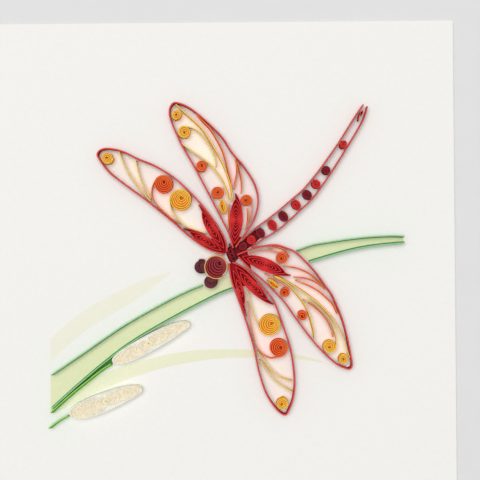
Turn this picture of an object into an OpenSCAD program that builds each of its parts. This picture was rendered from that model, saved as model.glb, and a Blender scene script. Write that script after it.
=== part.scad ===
// Quilled greeting card: a folded square card with a dragonfly, reed and cattails
// made of paper strips that stand on edge on its front panel.

/* [Card] */
// Width of the folded card, from the fold to the open edge
card_w = 152.4; // [128:0.1:200]
// Height of the card along the fold
card_h = 152.4; // [128:0.1:200]
// Thickness of the card stock
stock_t = 0.4; // [0.25:0.05:0.8]
// Space between the front and back panels of the closed card
panel_gap = 0.8; // [0.4:0.1:3]

/* [Motif] */
// Distance between the tips of the two forewings
wing_span = 104; // [98:1:120]
// Place of the layout's middle on the card, to the right of the card's middle
motif_right = 6; // [-4:0.5:8]
// Place of the layout's middle on the card, above the card's middle
motif_up = 5; // [-8:0.5:8]
// Turn of the layout on the card, in degrees
motif_turn = -0.5; // [-3:0.1:3]

/* [Strips] */
// Height of the paper strips above the front panel
strip_h = 3.5; // [2.5:0.1:6]
// Thickness of the glued-up strip round each wing
outline_t = 0.5; // [0.35:0.05:0.6]
// Thickness of the two walls of the tail
tail_wall_t = 0.4; // [0.25:0.05:0.5]
// Thickness of the vein strips
vein_t = 0.3; // [0.2:0.02:0.36]
// Thickness of the strips along the reed and of the stems
reed_t = 0.4; // [0.25:0.05:0.5]
// How far the tops of the reed's strips lean away from the reed
reed_lean = 0.3; // [0:0.05:0.5]
// How far the tops of the stems lean to the upper left
stem_lean = 0.5; // [0:0.05:0.8]
// Glue line between two quilled pieces
glue_gap = 0.08; // [0.05:0.01:0.12]

/* [Coils] */
// Thickness of the paper in the coils
paper_t = 0.2; // [0.15:0.01:0.22]
// Space between the turns of a round coil
coil_gap = 0.2; // [0.12:0.01:0.4]
// Space between the turns along the flank of a petal
petal_gap = 0.07; // [0.05:0.01:0.2]
// Space between the turns of a cattail
cattail_gap = 0.05; // [0.05:0.01:0.2]
// Space between the turns of the tail's coils
tail_gap = 0.14; // [0.06:0.01:0.3]
// Space between the turns of the head on its narrow side
head_gap = 0.13; // [0.12:0.01:0.25]
// Space under the outermost turn of a coil
outer_gap = 0.06; // [0.04:0.01:0.12]
// Space under the outer turn that wraps a cattail
wrap_gap = 0.12; // [0.1:0.01:0.16]
// Distance of the first turn from the core of a round coil
core_r = 0.4; // [0.3:0.05:0.6]
// Distance of the first turn from the core of a pinched or tight coil
petal_core = 0.2; // [0.16:0.01:0.3]

/* [Head] */
// Rise of the head's rim above its core
head_dish = 1; // [0.4:0.1:2]
// Height of the two eye coils
eye_h = 3; // [2:0.1:4]

/* [Hidden] */
// Straight steps in one turn of a coil, of a petal and along a strip
coil_steps = 18;
petal_steps = 24;
strip_step = 5;
// Share of a turn by which coils grow longer when there is more room
turn_step = 0.5;
// How far a miter may reach at a sharp bend
miter_limit = 2;
// How strongly the ends of petals, cattails and drops are drawn out, or filled out where it is below 0
petal_pinch = 0.6;
thorax_pinch = 0.3;
cattail_pinch = -0.25;
drop_pinch = 0;
// How a pinched coil is drawn out: above 1, its core is round and its outer turns are long
draw_power = 1.8;
cattail_draw = 1.25;
// Share of a cattail's width that is filled by a round core
cattail_round = 0.45;
// Slants of the flanks of a coil that is no fuller towards either end
no_slant = [0, 0];
// Half of the clear width inside the fold at a pinched tip
tip_gap = 0.02;
// Where the outer end of a pinched coil lies: just round the fold at its first tip
pinched_end = 180 + 180 / petal_steps;
// Softness of the corner where an eye is pressed against the head, and angle of an eye's inner end
press_power = 10;
eye_start = 90;
// A length beyond the card, for a ray that meets nothing
far_off = 1000;

// Layout units: the layout lists below are drawn in steps, counted from the top left
layout_mid = [240, 240];
right_tip = [97.2, 154];
left_tip = [284.5, 415];
unit_mm = wing_span / norm(left_tip - right_tip);

// Levels
fold_r = stock_t + panel_gap / 2;
front_z = 2 * stock_t + panel_gap;

RED = [0.84, 0.2, 0.22];
PETAL = [0.85, 0.15, 0.17];
DARK = [0.42, 0.05, 0.13];
PLUM = [0.33, 0.13, 0.19];
ORANGE = [0.93, 0.38, 0.14];
YELLOW = [0.96, 0.76, 0.24];
GREEN = [0.32, 0.68, 0.43];
STEM = [0.43, 0.74, 0.24];
CREAM = [0.98, 0.95, 0.88];
WHITE = [0.95, 0.95, 0.93];

// Right forewing: outline from its root along the lower edge, round the tip and back
right_forewing_edge = [
    [224.6, 254.2], [208.8, 249.5], [190.5, 237.4], [173.1, 222.1], [146.3, 200.4], [122.1, 182.6],
    [108, 171], [99.1, 159], right_tip, [100.2, 150], [108, 148.4], [122.1, 151.3], [139.3, 159.4],
    [156.5, 166.6], [176.9, 180], [199.2, 202.1], [216, 223.7], [225.2, 240.5], [227, 251.8]];
right_forewing_veins = [
    [[118.6, 150.6], [124, 166.6], [133.6, 182], [143.8, 194.7], [150.5, 201.2]],
    [[135.1, 157.4], [137.4, 171.7], [142.5, 185.8], [150.6, 198.6]]];
right_forewing_orange_tail = [
    [152.4, 186], [151.6, 195.5], [155.9, 203.8], [163.6, 211.4], [172.2, 218.9], [179.8, 223.2]];
right_forewing_yellow_tail = [
    [171.3, 209.2], [177.6, 219.2], [185.4, 226], [194.4, 229.6], [206.5, 233.2]];

// Left forewing: outline from its root along the left edge, round the tip and back
left_forewing_edge = [
    [228.9, 263.6], [230.2, 273.5], [233.1, 285.4], [242.2, 310.2], [249.4, 332.1], [254.8, 351.5],
    [259.1, 372.1], [266.4, 393.9], [276, 408.6], left_tip, [288.6, 411], [293, 398.8], [294.8, 380],
    [291.2, 351.5], [284.5, 329.7], [276.4, 307], [272.4, 298.9], [261.7, 285.4], [254.6, 278.2],
    [247.4, 270.6], [240.3, 265.6], [232.4, 262.3]];
left_forewing_veins = [
    [[257.4, 351.5], [263, 360.4], [271.2, 370.9], [280.9, 378.2], [294.6, 382]],
    [[259.6, 360.4], [268.8, 374.5], [278.5, 384.2], [293.4, 392.8]]];
left_forewing_orange_tail = [
    [270.5, 358.4], [262, 353.8], [256.6, 346.5], [253.9, 337], [250.8, 324], [248.6, 310], [247.6, 301.5]];
left_forewing_yellow_tail = [[254.6, 317], [251.2, 306], [249.2, 296.5], [246.6, 290.5]];

// Right hindwing: outline from its root along the left edge, round the tip and back
right_hindwing_edge = [
    [233.2, 248], [228, 231.7], [216.3, 208.6], [204.7, 186.2], [193.1, 164.6], [180.7, 143.1],
    [171.1, 120.7], [169.4, 110], [172.8, 103.2], [179, 103.2], [191.5, 109.1], [209.7, 124.4],
    [222.1, 137.3], [231.7, 152], [243.7, 166.3], [254.5, 183.7], [258.2, 201.9], [253.5, 220.2],
    [243.9, 235], [235.6, 247.2]];
right_hindwing_yellow_veins = [
    [[175.2, 103.4], [183.2, 112], [199.8, 127.3], [208, 138.9], [220.5, 160.5], [227.9, 178.7],
        [231.2, 192.5], [231.4, 198.2], [230.2, 199.6], [228.9, 198], [227.6, 191.5], [221.3, 177.9],
        [213, 167.1], [206.4, 160.5], [189.8, 148.9], [181, 143.4]]];
right_hindwing_orange_veins = [
    [[193.9, 111.3], [203.1, 122.3], [211.4, 131.5], [222.1, 151.4], [227.9, 172.1], [232.3, 189]],
    [[234.6, 155.8], [236.2, 164.6], [236.2, 172.9], [234.8, 181.2], [234.2, 188.6]],
    [[237.4, 159.2], [238.9, 168.8], [240.8, 179.6], [241.2, 187.8], [240.9, 193.2]],
    [[228.9, 204], [228.2, 219], [228.4, 228.5]],
    [[247.4, 208.2], [247.6, 217.4], [246.4, 225.7], [244.9, 229.8]]];
right_hindwing_yellow_tail = [
    [193.1, 128.1], [199.8, 133.1], [206.4, 141.4], [211.4, 149.7], [215, 158.8], [215.9, 166.5]];
right_hindwing_orange_tail = [[252, 207], [251.4, 214], [249.8, 222]];

// Left hindwing: outline from its root along the outer edge, round the tip and back
left_hindwing_edge = [
    [237, 255], [245, 251.6], [254, 248.4], [262, 246.3], [275.2, 244.9], [285, 247.5], [297.6, 253.8],
    [315.4, 272.1], [325.1, 285.4], [333.2, 297.4], [341.3, 316.8], [346.2, 332.8], [351.5, 358.6],
    [351.9, 366.5], [349.2, 369], [345.6, 368.2], [336.5, 363.9], [318.9, 347.8], [299, 322.7],
    [286.1, 304.3], [276, 293.2], [262, 279.6], [252.1, 271.2], [245.4, 264.4], [238.4, 256.9]];
left_hindwing_yellow_veins = [
    [[349.6, 357.5], [347.2, 347.4], [344.3, 338.2], [336, 322.1], [329.6, 314.1], [321.5, 305.5],
        [313.5, 298.6], [302.8, 290.6], [291.5, 283.6], [283.5, 278.9], [277.2, 276.2], [274.6, 275.7],
        [273.8, 276.5], [274.6, 277.4], [277, 278.6], [284.8, 283], [290.6, 288], [296, 294.2],
        [301, 300.2], [305.6, 307.6], [308.6, 314.6], [310.6, 321.5], [313.5, 332.8], [314.5, 338.8]]];
left_hindwing_orange_veins = [
    [[268, 248.2], [276, 247.6], [283, 249.6], [287.6, 253.4], [289.3, 257.5]],
    [[283.4, 266.4], [290.7, 267], [302.2, 270.4], [310.8, 275], [322.5, 284.6]],
    [[294, 277.3], [302.2, 277.9], [310.8, 280.2], [319.4, 284.8], [325.4, 289.6]],
    [[296, 280.4], [310.8, 287.1], [319.4, 292.2], [328, 299.7], [333.2, 305.5], [337.6, 314]],
    [[333.6, 337.4], [331.9, 330.5], [328.2, 322], [322.2, 313.8], [315.4, 307.4], [308.6, 303.4]]];
left_hindwing_yellow_tail = [
    [336.4, 338.2], [334.2, 329.6], [330.2, 320.6], [323.8, 311.8], [316.6, 305], [309.5, 301.1],
    [303.4, 299.6]];
left_hindwing_orange_tail = [[271, 250.6], [262.5, 250.2], [254.5, 251.8], [249, 253.6]];
left_hindwing_inner_tail = [[281.6, 283.6], [276.2, 280.4], [270.5, 277], [264.5, 274]];

// Tail: stations along its middle, each with the half width to the middle of its walls
tail_stations = [
    [247.4, 243.2, 5.7], [251.1, 240, 6.1], [260.3, 232.9, 6.8], [272.3, 225, 7.4], [283.3, 216.2, 7.3],
    [296, 204.8, 6.9], [307.2, 194.8, 6.6], [316, 184, 6.1], [326.2, 170.3, 5.6], [343.4, 144.5, 4.8],
    [359.1, 118.5, 4.3], [365.6, 105.2, 2.2]];
// Place of the first coil, between the wing roots, and its half width
tail_root = [242.8, 246.4, 5.4];
// Half length of the tail's coils along the tail, in steps
tail_coil_half = 4.8;
// Angle of the outer end of a tail coil, from the tail's way
tail_coil_end = 60;

// Head, eyes and body
head_mid = [216, 267];
head_steps = 12;
head_core = [220.5, 262.1];
head_end = 300;
upper_eye = [201.4, 266.8, 7.8];
upper_eye_core = [198.6, 266.2];
lower_eye = [210.6, 281.6, 7.4];
lower_eye_core = [209.4, 283.4];

// Round coils: each row holds a coil's middle, radius, core, way of turning and the angle of its outer end
right_forewing_tip = [[107.2, 157.9], 6.3, [106.8, 158.3], 1, 0];
right_forewing_orange = [[163.3, 184.3], 9.8, [163.8, 181.8], 1, 140];
right_forewing_yellow = [[180.4, 200], 11.4, [181.5, 196.9], 1, 180];
left_forewing_tip = [[282.2, 403.8], 6.4, [282.2, 404.4], 1, 90];
left_forewing_orange = [[278.5, 348.1], 9.8, [281, 347.6], -1, 265];
left_forewing_yellow = [[269.6, 324.8], 11.3, [272.4, 323.8], -1, 190];
right_hindwing_tip = [[176.6, 114.6], 5.4, [176.6, 114.6], 1, 270];
right_hindwing_yellow = [[184.2, 131.8], 6.6, [183.8, 132.4], -1, 90];
right_hindwing_outer = [[201.6, 165.7], 6, [201.6, 166.2], 1, 300];
right_hindwing_inner = [[217.2, 192.4], 6.7, [217.4, 192], 1, 60];
right_hindwing_orange = [[246.2, 200.3], 6.2, [246.2, 199.6], -1, 0];
left_hindwing_tip = [[343.3, 359.4], 5.5, [343.1, 359.8], 1, 120];
left_hindwing_yellow = [[329.8, 346.5], 7.1, [329.2, 347.2], 1, 5];
left_hindwing_outer = [[302.5, 315.8], 5.4, [302.4, 316.4], 1, 150];
left_hindwing_inner = [[285, 292.2], 5.4, [284.6, 292.8], 1, 80];
left_hindwing_orange = [[281.8, 258.1], 6.4, [281.6, 258.6], 1, 115];

// Pinched coils: each row holds the two tips, the half widths to left and right of the way between them
// and, for a cattail, how far its core lies ahead of its middle, and how much fuller its left and its right
// flank grow towards the far tip
right_forewing_upper = [[198.6, 204.8], [226, 251.4], 4.2, 6.7];
right_forewing_lower = [[183.4, 228.2], [224.6, 252.4], 5, 4.9];
left_forewing_outer = [[246.5, 316], [231.2, 265], 2.3, 5.5];
left_forewing_inner = [[273.5, 304.8], [233, 263.8], 7.3, 4];
right_hindwing_middle = [[235.6, 193.3], [233.9, 246], 8.3, 5.8];
left_hindwing_middle = [[290.8, 275.6], [239.6, 255.8], 6.1, 7.9];
right_hindwing_bead = [[221, 198.8], [224.2, 214.6], 4.4, 4.4];
left_hindwing_bead = [[267.2, 279.4], [279.4, 289.1], 3.5, 3.5];
thorax_tips = [[229, 243.6], [236.8, 264], 1.65, 4.8];
tail_tips = [[358.4, 120.4], [364.8, 106.2], 2, 2];
upper_cattail_tips = [[112.2, 361.6], [190.4, 324], 9.3, 8.5, -2.5, [0.2, -0.45]];
lower_cattail_tips = [[69.2, 414], [142.5, 389.4], 9.9, 10, 0.3, [0.05, -0.45]];

// Reed, stems and cattails
reed_upper_left = [
    [51.2, 375.7], [82.1, 354.7], [124.2, 325.9], [166.3, 302.1], [187.3, 291.6], [202.2, 285.4]];
reed_lower_left = [
    [51.2, 408.7], [75.1, 387], [103.1, 363.1], [131.2, 342.1], [173.3, 317.3], [215.4, 295.4],
    [232.2, 288.6]];
reed_upper_right = [
    [296.9, 250.6], [313.7, 245.2], [330.9, 242.3], [351, 239.3], [371.4, 237.2], [391.8, 236.2],
    [404.6, 236.7]];
reed_lower_right = [
    [309.6, 261.4], [319.4, 258.4], [340.8, 252.2], [361.2, 247.4], [381.6, 244.4], [405.1, 242.3]];
upper_stem_line = [[51, 413.3], [69.1, 396.9], [87.6, 381.8], [102.5, 370.2], [111, 364.7]];
lower_stem_line = [[49.1, 429.1], [58.2, 422], [68, 416.4]];

TAIL_COILS = [for (i = [1:10]) str("tail_coil_", i)];

// Place of a layout point on the card
function turned(v, a) = [v.x * cos(a) - v.y * sin(a), v.x * sin(a) + v.y * cos(a)];
function at(p) = [motif_right, motif_up]
    + unit_mm * turned([p.x - layout_mid.x, layout_mid.y - p.y], motif_turn);
function all_at(path) = [for (p = path) at(p)];

// Smooth curve through the points of a path
function knot(path, i) = path[max(0, min(len(path) - 1, i))];
function bend(a, b, c, d, t) =
    (2 * b + (c - a) * t + (2 * a - 5 * b + 4 * c - d) * t * t + (3 * b - a - 3 * c + d) * t * t * t) / 2;
function span_steps(a, b) = max(3, ceil(norm(b - a) / (strip_step * unit_mm)));
function curve(path) = [
    for (i = [0:len(path) - 2])
        let (n = span_steps(path[i], path[i + 1]))
        for (k = [0:n - 1])
            bend(knot(path, i - 1), path[i], path[i + 1], knot(path, i + 2), k / n),
    path[len(path) - 1]];

// Outline of a paper strip of thickness t that follows a line
function unit(v) = v / max(norm(v), 0.000001);
function ahead(line, i) = unit(line[min(i + 1, len(line) - 1)] - line[min(i, len(line) - 2)]);
function behind(line, i) = unit(line[max(i, 1)] - line[max(i - 1, 0)]);
function heading(line, i) = unit(ahead(line, i) + behind(line, i));
function miter(line, i) = min(miter_limit, 1 / max(0.1, heading(line, i) * ahead(line, i)));
function beside(line, i, d) = line[i] + d * miter(line, i) * turned(heading(line, i), 90);
function ribbon(line, t) = concat(
    [for (i = [0:len(line) - 1]) beside(line, i, t / 2)],
    [for (i = [len(line) - 1:-1:0]) beside(line, i, -t / 2)]);

// Loop of a coil at share s of its full size: reach holds its half length, its half widths to left and
// right, and their slants. The loop is round at the core, grows into the coil's form as it is drawn out,
// and keeps the width of a fold at pinched tips.
function loop(reach, pinch, s, drawn, a) =
    let (
        middle = (reach[1] + reach[2]) / 2,
        long = s * middle + (reach[0] - middle) * drawn,
        side = s * middle + ((sin(a) > 0 ? reach[1] : reach[2]) - middle) * drawn,
        full = side * (1 + reach[3][sin(a) > 0 ? 0 : 1] * drawn * cos(a)),
        wide = full * pow(abs(sin(a)), 1 + pinch * s),
        fold = pinch == 0 ? 0 : min(paper_t / 2 + tip_gap, long * abs(sin(a))))
    [long * cos(a), sign(sin(a)) * max(wide, fold)];
function inset(size) = [size[0] - paper_t / 2, size[1] - paper_t / 2, size[2] - paper_t / 2, size[3]];
function room(reach, core) = min(reach[0] - abs(core.x), reach[1] - core.y, reach[2] + core.y);

// Turns that a coil has made at its i-th step: a pinched coil grows along its flanks and not in its folds
function turns_made(i, pinch, steps) =
    let (v = (2 * i + 1) / steps)
    pinch == 0 ? i / steps : (v - sin(360 * v) / (2 * PI)) / 2;
// Line of a coil, from its core to its outer end at angle end: open turns, and one close turn round them
function coil(mid, size, tilt, core, eye, pinch, gap, steps, hand, end, draw = 1, kept = 0) =
    let (
        reach = inset(size),
        near = room(reach, core),
        first = eye / near,
        whole = max(first, kept),
        outer = paper_t + (kept > 0 ? wrap_gap : outer_gap),
        inner_turns = max(0, turn_step * floor((near - eye - outer) / (paper_t + gap) / turn_step)),
        close = inner_turns > 0 ? outer / near : 1 - first,
        wrapped = kept > 0 ? 1 - close : 1,
        last = (inner_turns + 1) * steps)
    [for (i = [0:last])
        let (
            made = turns_made(i, pinch, steps),
            open = first + (1 - close - first) * made / max(turn_step, inner_turns),
            s = made < inner_turns ? open : 1 - close * (inner_turns + 1 - made),
            grown = min(1, max(0, s - whole) / (wrapped - whole)),
            drawn = pinch == 0 ? s : pow(grown, draw),
            a = end + hand * 360 * (i - last) / steps)
        mid + turned(core * (1 - drawn) + loop(reach, pinch, s, drawn, a), tilt)];
function round_coil(row, gap, eye) =
    let (r = row[1] * unit_mm, core = at(row[2]) - at(row[0]))
    coil(at(row[0]), [r, r, r, no_slant], 0, core, eye, 0, gap, coil_steps, row[3], row[4]);
function scroll(line, tail) =
    let (run = curve(concat([line[len(line) - 1]], all_at(tail))))
    concat(line, [for (i = [1:len(run) - 1]) run[i]]);
function pinched_coil(row, pinch, gap, eye, draw, kept) =
    let (
        way = at(row[1]) - at(row[0]),
        size = [norm(way) / 2, row[2] * unit_mm, row[3] * unit_mm, len(row) > 5 ? row[5] : no_slant],
        core = [len(row) > 4 ? row[4] * unit_mm : 0, (size[1] - size[2]) / 2],
        mid = (at(row[0]) + at(row[1])) / 2)
    coil(mid, size, atan2(way.y, way.x), core, eye, pinch, gap, petal_steps, 1, pinched_end, draw, kept);

module raise() { translate([0, 0, front_z]) children(); }
module strip(line, t) { raise() linear_extrude(strip_h) polygon(ribbon(line, t)); }
module edge_strip(path, t) { strip(curve(all_at(path)), t); }
module rolled(row, tail = []) {
    line = round_coil(row, coil_gap, core_r);
    strip(len(tail) > 0 ? scroll(line, tail) : line, paper_t);
}
module pinched(row, pinch, gap, eye = petal_core, draw = draw_power, kept = 0) {
    strip(pinched_coil(row, pinch, gap, eye, draw, kept), paper_t);
}
// A strip whose foot rises point by point, or whose top leans to the left of its way
module swept(line, t, rise, lean) {
    last = len(line) - 1;
    function ring(i) = [
        for (c = [[1, 0], [-1, 0], [-1, 1], [1, 1]])
            let (p = beside(line, i, c[0] * t / 2 + (c[1] - 0.5) * lean))
            [p.x, p.y, front_z + rise[i] + c[1] * strip_h]];
    points = [for (i = [0:last]) each ring(i)];
    sides = [
        for (i = [0:last - 1], k = [0:3])
            let (a = 4 * i + k, b = 4 * i + (k + 1) % 4)
            each [[a, b, b + 4], [a, b + 4, a + 4]]];
    ends = [[3, 2, 1, 0], [for (k = [0:3]) 4 * last + k]];
    polyhedron(points, concat(ends, sides), convexity = 12);
}
module leaning_strip(path, lean) {
    line = curve(all_at(path));
    swept(line, reed_t, [for (p = line) 0], lean);
}
// Strips whose ends stop a glue line short of a wing's outline
module fitted_strips(paths, edge) {
    for (path = paths) raise() linear_extrude(strip_h) difference() {
        polygon(ribbon(curve(all_at(path)), vein_t));
        polygon(ribbon(curve(all_at(edge)), outline_t + 2 * glue_gap));
    }
}

module folded_card() {
    panel_w = card_w - fold_r;
    color(WHITE) translate([-card_w / 2, card_h / 2, 0]) rotate([90, 0, 0]) linear_extrude(card_h) {
        translate([fold_r, 0]) square([panel_w, stock_t]);
        translate([fold_r, stock_t + panel_gap]) square([panel_w, stock_t]);
        translate([fold_r, fold_r]) difference() {
            circle(fold_r, $fn = 64);
            circle(panel_gap / 2, $fn = 64);
            translate([0, -fold_r]) square(2 * fold_r);
        }
    }
}

module reed_upper_left_edge() { color(GREEN) leaning_strip(reed_upper_left, reed_lean); }
module reed_lower_left_edge() { color(GREEN) leaning_strip(reed_lower_left, -reed_lean); }
module reed_upper_right_edge() { color(GREEN) leaning_strip(reed_upper_right, reed_lean); }
module reed_lower_right_edge() { color(GREEN) leaning_strip(reed_lower_right, -reed_lean); }
module upper_stem() { color(STEM) leaning_strip(upper_stem_line, stem_lean); }
module lower_stem() { color(STEM) leaning_strip(lower_stem_line, stem_lean); }
module cattail(row) {
    color(CREAM) pinched(row, cattail_pinch, cattail_gap, draw = cattail_draw, kept = cattail_round);
}
module upper_cattail() { cattail(upper_cattail_tips); }
module lower_cattail() { cattail(lower_cattail_tips); }

// The head is a coil dished by pushing its core down, so that each turn stands higher than the last
module head() {
    line = round_coil([head_mid, head_steps, head_core, 1, head_end], head_gap, petal_core);
    last = len(line) - 1;
    color(DARK) swept(line, paper_t, [for (i = [0:last]) head_dish * pow(i / last, 2)], 0);
}

// The eyes are coils pressed against the head: a ray from the core stops at the eye's round or at the head
function way_out(p, u, mid, r) = let (v = p - mid, b = u * v) sqrt(max(0, b * b - v * v + r * r)) - b;
function way_in(p, u, mid, r) =
    let (v = p - mid, b = u * v, d = b * b - v * v + r * r)
    d > 0 && b < 0 ? -b - sqrt(d) : far_off;
function soft_min(a, b) = pow(pow(a, -press_power) + pow(b, -press_power), -1 / press_power);
function eye_ray(eye, core, a) =
    let (
        u = [cos(a), sin(a)],
        own = way_out(at(core), u, at(eye), eye[2] * unit_mm - paper_t / 2),
        stop = way_in(at(core), u, at(head_mid), head_steps * unit_mm + glue_gap + paper_t / 2))
    soft_min(own, stop);
module eye_coil(eye, core) {
    near = min([for (i = [1:coil_steps]) eye_ray(eye, core, 360 * i / coil_steps)]);
    first = petal_core / near;
    last = floor((near - petal_core) / (paper_t + petal_gap)) * coil_steps;
    line = [
        for (i = [0:last])
            let (s = first + (1 - first) * i / last, a = eye_start + 360 * i / coil_steps)
            at(core) + s * eye_ray(eye, core, a) * [cos(a), sin(a)]];
    color(PLUM) raise() linear_extrude(eye_h) polygon(ribbon(line, paper_t));
}
module upper_eye_coil() { eye_coil(upper_eye, upper_eye_core); }
module lower_eye_coil() { eye_coil(lower_eye, lower_eye_core); }

module petal(row) { color(PETAL) pinched(row, petal_pinch, petal_gap); }
module thorax() { color(DARK) pinched(thorax_tips, thorax_pinch, petal_gap); }

// The tail's walls run beside its stations, and its coils fill the way from wall to wall
tail_line = curve([for (s = tail_stations) [at(s).x, at(s).y, s[2] * unit_mm]]);
tail_mid = [for (p = tail_line) [p.x, p.y]];
function tail_side(side) = [
    for (i = [0:len(tail_line) - 1])
        tail_mid[i] + side * tail_line[i].z * turned(heading(tail_mid, i), 90)];
module tail_upper_wall() { color(RED) strip(tail_side(1), tail_wall_t); }
module tail_lower_wall() { color(RED) strip(tail_side(-1), tail_wall_t); }
module tail_tip() { petal(tail_tips); }
// The first coil sits between the wing roots, and each later one at a station of the tail
module tail_coil(i) {
    place = i == 1 ? tail_root : tail_stations[i - 1];
    way = at(tail_stations[i]) - at(tail_stations[max(i - 2, 0)]);
    half = place[2] * unit_mm - tail_wall_t / 2 - glue_gap;
    size = [tail_coil_half * unit_mm, half, half, no_slant];
    tilt = atan2(way.y, way.x);
    line = coil(at(place), size, tilt, [0, 0], petal_core, 0, tail_gap, coil_steps, 1, tail_coil_end);
    color(i % 2 == 1 ? DARK : PETAL) strip(line, paper_t);
}

module right_forewing_outline() { color(RED) edge_strip(right_forewing_edge, outline_t); }
module right_forewing_tip_coil() { color(YELLOW) rolled(right_forewing_tip); }
module right_forewing_orange_scroll() {
    color(ORANGE) rolled(right_forewing_orange, right_forewing_orange_tail);
}
module right_forewing_yellow_scroll() {
    color(YELLOW) rolled(right_forewing_yellow, right_forewing_yellow_tail);
}
module right_forewing_vein_strips() {
    color(YELLOW) fitted_strips(right_forewing_veins, right_forewing_edge);
}
module right_forewing_upper_petal() { petal(right_forewing_upper); }
module right_forewing_lower_petal() { petal(right_forewing_lower); }

module left_forewing_outline() { color(RED) edge_strip(left_forewing_edge, outline_t); }
module left_forewing_tip_coil() { color(YELLOW) rolled(left_forewing_tip); }
module left_forewing_orange_scroll() {
    color(ORANGE) rolled(left_forewing_orange, left_forewing_orange_tail);
}
module left_forewing_yellow_scroll() {
    color(YELLOW) rolled(left_forewing_yellow, left_forewing_yellow_tail);
}
module left_forewing_vein_strips() {
    color(YELLOW) fitted_strips(left_forewing_veins, left_forewing_edge);
}
module left_forewing_outer_petal() { petal(left_forewing_outer); }
module left_forewing_inner_petal() { petal(left_forewing_inner); }

module right_hindwing_outline() { color(RED) edge_strip(right_hindwing_edge, outline_t); }
module right_hindwing_tip_coil() { color(YELLOW) rolled(right_hindwing_tip); }
module right_hindwing_yellow_scroll() {
    color(YELLOW) rolled(right_hindwing_yellow, right_hindwing_yellow_tail);
}
module right_hindwing_outer_coil() { color(ORANGE) rolled(right_hindwing_outer); }
module right_hindwing_inner_coil() { color(ORANGE) rolled(right_hindwing_inner); }
module right_hindwing_drop() {
    color(YELLOW) pinched(right_hindwing_bead, drop_pinch, coil_gap, core_r);
}
module right_hindwing_orange_scroll() {
    color(ORANGE) rolled(right_hindwing_orange, right_hindwing_orange_tail);
}
module right_hindwing_yellow_strip() {
    color(YELLOW) fitted_strips(right_hindwing_yellow_veins, right_hindwing_edge);
}
module right_hindwing_orange_strips() {
    color(ORANGE) fitted_strips(right_hindwing_orange_veins, right_hindwing_edge);
}
module right_hindwing_petal() { petal(right_hindwing_middle); }

module left_hindwing_outline() { color(RED) edge_strip(left_hindwing_edge, outline_t); }
module left_hindwing_tip_coil() { color(YELLOW) rolled(left_hindwing_tip); }
module left_hindwing_yellow_scroll() {
    color(YELLOW) rolled(left_hindwing_yellow, left_hindwing_yellow_tail);
}
module left_hindwing_outer_coil() { color(ORANGE) rolled(left_hindwing_outer); }
module left_hindwing_inner_scroll() {
    color(ORANGE) rolled(left_hindwing_inner, left_hindwing_inner_tail);
}
module left_hindwing_drop() {
    color(YELLOW) pinched(left_hindwing_bead, drop_pinch, coil_gap, core_r);
}
module left_hindwing_orange_scroll() {
    color(ORANGE) rolled(left_hindwing_orange, left_hindwing_orange_tail);
}
module left_hindwing_yellow_strip() {
    color(YELLOW) fitted_strips(left_hindwing_yellow_veins, left_hindwing_edge);
}
module left_hindwing_orange_strips() {
    color(ORANGE) fitted_strips(left_hindwing_orange_veins, left_hindwing_edge);
}
module left_hindwing_petal() { petal(left_hindwing_middle); }

folded_card();
reed_upper_left_edge();
reed_lower_left_edge();
reed_upper_right_edge();
reed_lower_right_edge();
upper_stem();
lower_stem();
upper_cattail();
lower_cattail();
head();
upper_eye_coil();
lower_eye_coil();
thorax();
tail_upper_wall();
tail_lower_wall();
tail_tip();
right_forewing_outline();
right_forewing_tip_coil();
right_forewing_orange_scroll();
right_forewing_yellow_scroll();
right_forewing_vein_strips();
right_forewing_upper_petal();
right_forewing_lower_petal();
left_forewing_outline();
left_forewing_tip_coil();
left_forewing_orange_scroll();
left_forewing_yellow_scroll();
left_forewing_vein_strips();
left_forewing_outer_petal();
left_forewing_inner_petal();
right_hindwing_outline();
right_hindwing_tip_coil();
right_hindwing_yellow_scroll();
right_hindwing_outer_coil();
right_hindwing_inner_coil();
right_hindwing_drop();
right_hindwing_orange_scroll();
right_hindwing_yellow_strip();
right_hindwing_orange_strips();
right_hindwing_petal();
left_hindwing_outline();
left_hindwing_tip_coil();
left_hindwing_yellow_scroll();
left_hindwing_outer_coil();
left_hindwing_inner_scroll();
left_hindwing_drop();
left_hindwing_orange_scroll();
left_hindwing_yellow_strip();
left_hindwing_orange_strips();
left_hindwing_petal();
for (i = [1:10]) tail_coil(i);
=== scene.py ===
"""Looks of the quilled greeting card: fine paper strips, coils, the reed's print, painted shade and light."""
import math

import bpy
import numpy as np
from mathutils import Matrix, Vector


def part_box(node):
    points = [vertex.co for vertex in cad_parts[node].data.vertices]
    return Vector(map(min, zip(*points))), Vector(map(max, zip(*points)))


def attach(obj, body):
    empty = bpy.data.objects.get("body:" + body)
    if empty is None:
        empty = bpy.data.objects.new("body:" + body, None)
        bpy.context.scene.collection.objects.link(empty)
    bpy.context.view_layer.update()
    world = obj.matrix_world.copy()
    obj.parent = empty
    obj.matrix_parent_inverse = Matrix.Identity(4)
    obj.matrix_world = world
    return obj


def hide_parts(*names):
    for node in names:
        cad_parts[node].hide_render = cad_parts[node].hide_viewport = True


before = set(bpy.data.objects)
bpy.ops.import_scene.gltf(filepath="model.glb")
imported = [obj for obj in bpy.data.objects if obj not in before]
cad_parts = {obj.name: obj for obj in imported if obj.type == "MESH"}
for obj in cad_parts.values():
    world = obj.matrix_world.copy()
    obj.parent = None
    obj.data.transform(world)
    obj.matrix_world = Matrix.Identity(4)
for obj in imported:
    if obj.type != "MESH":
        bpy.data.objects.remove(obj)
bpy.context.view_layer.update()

MM = 0.001
TINY = 1e-9

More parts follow.
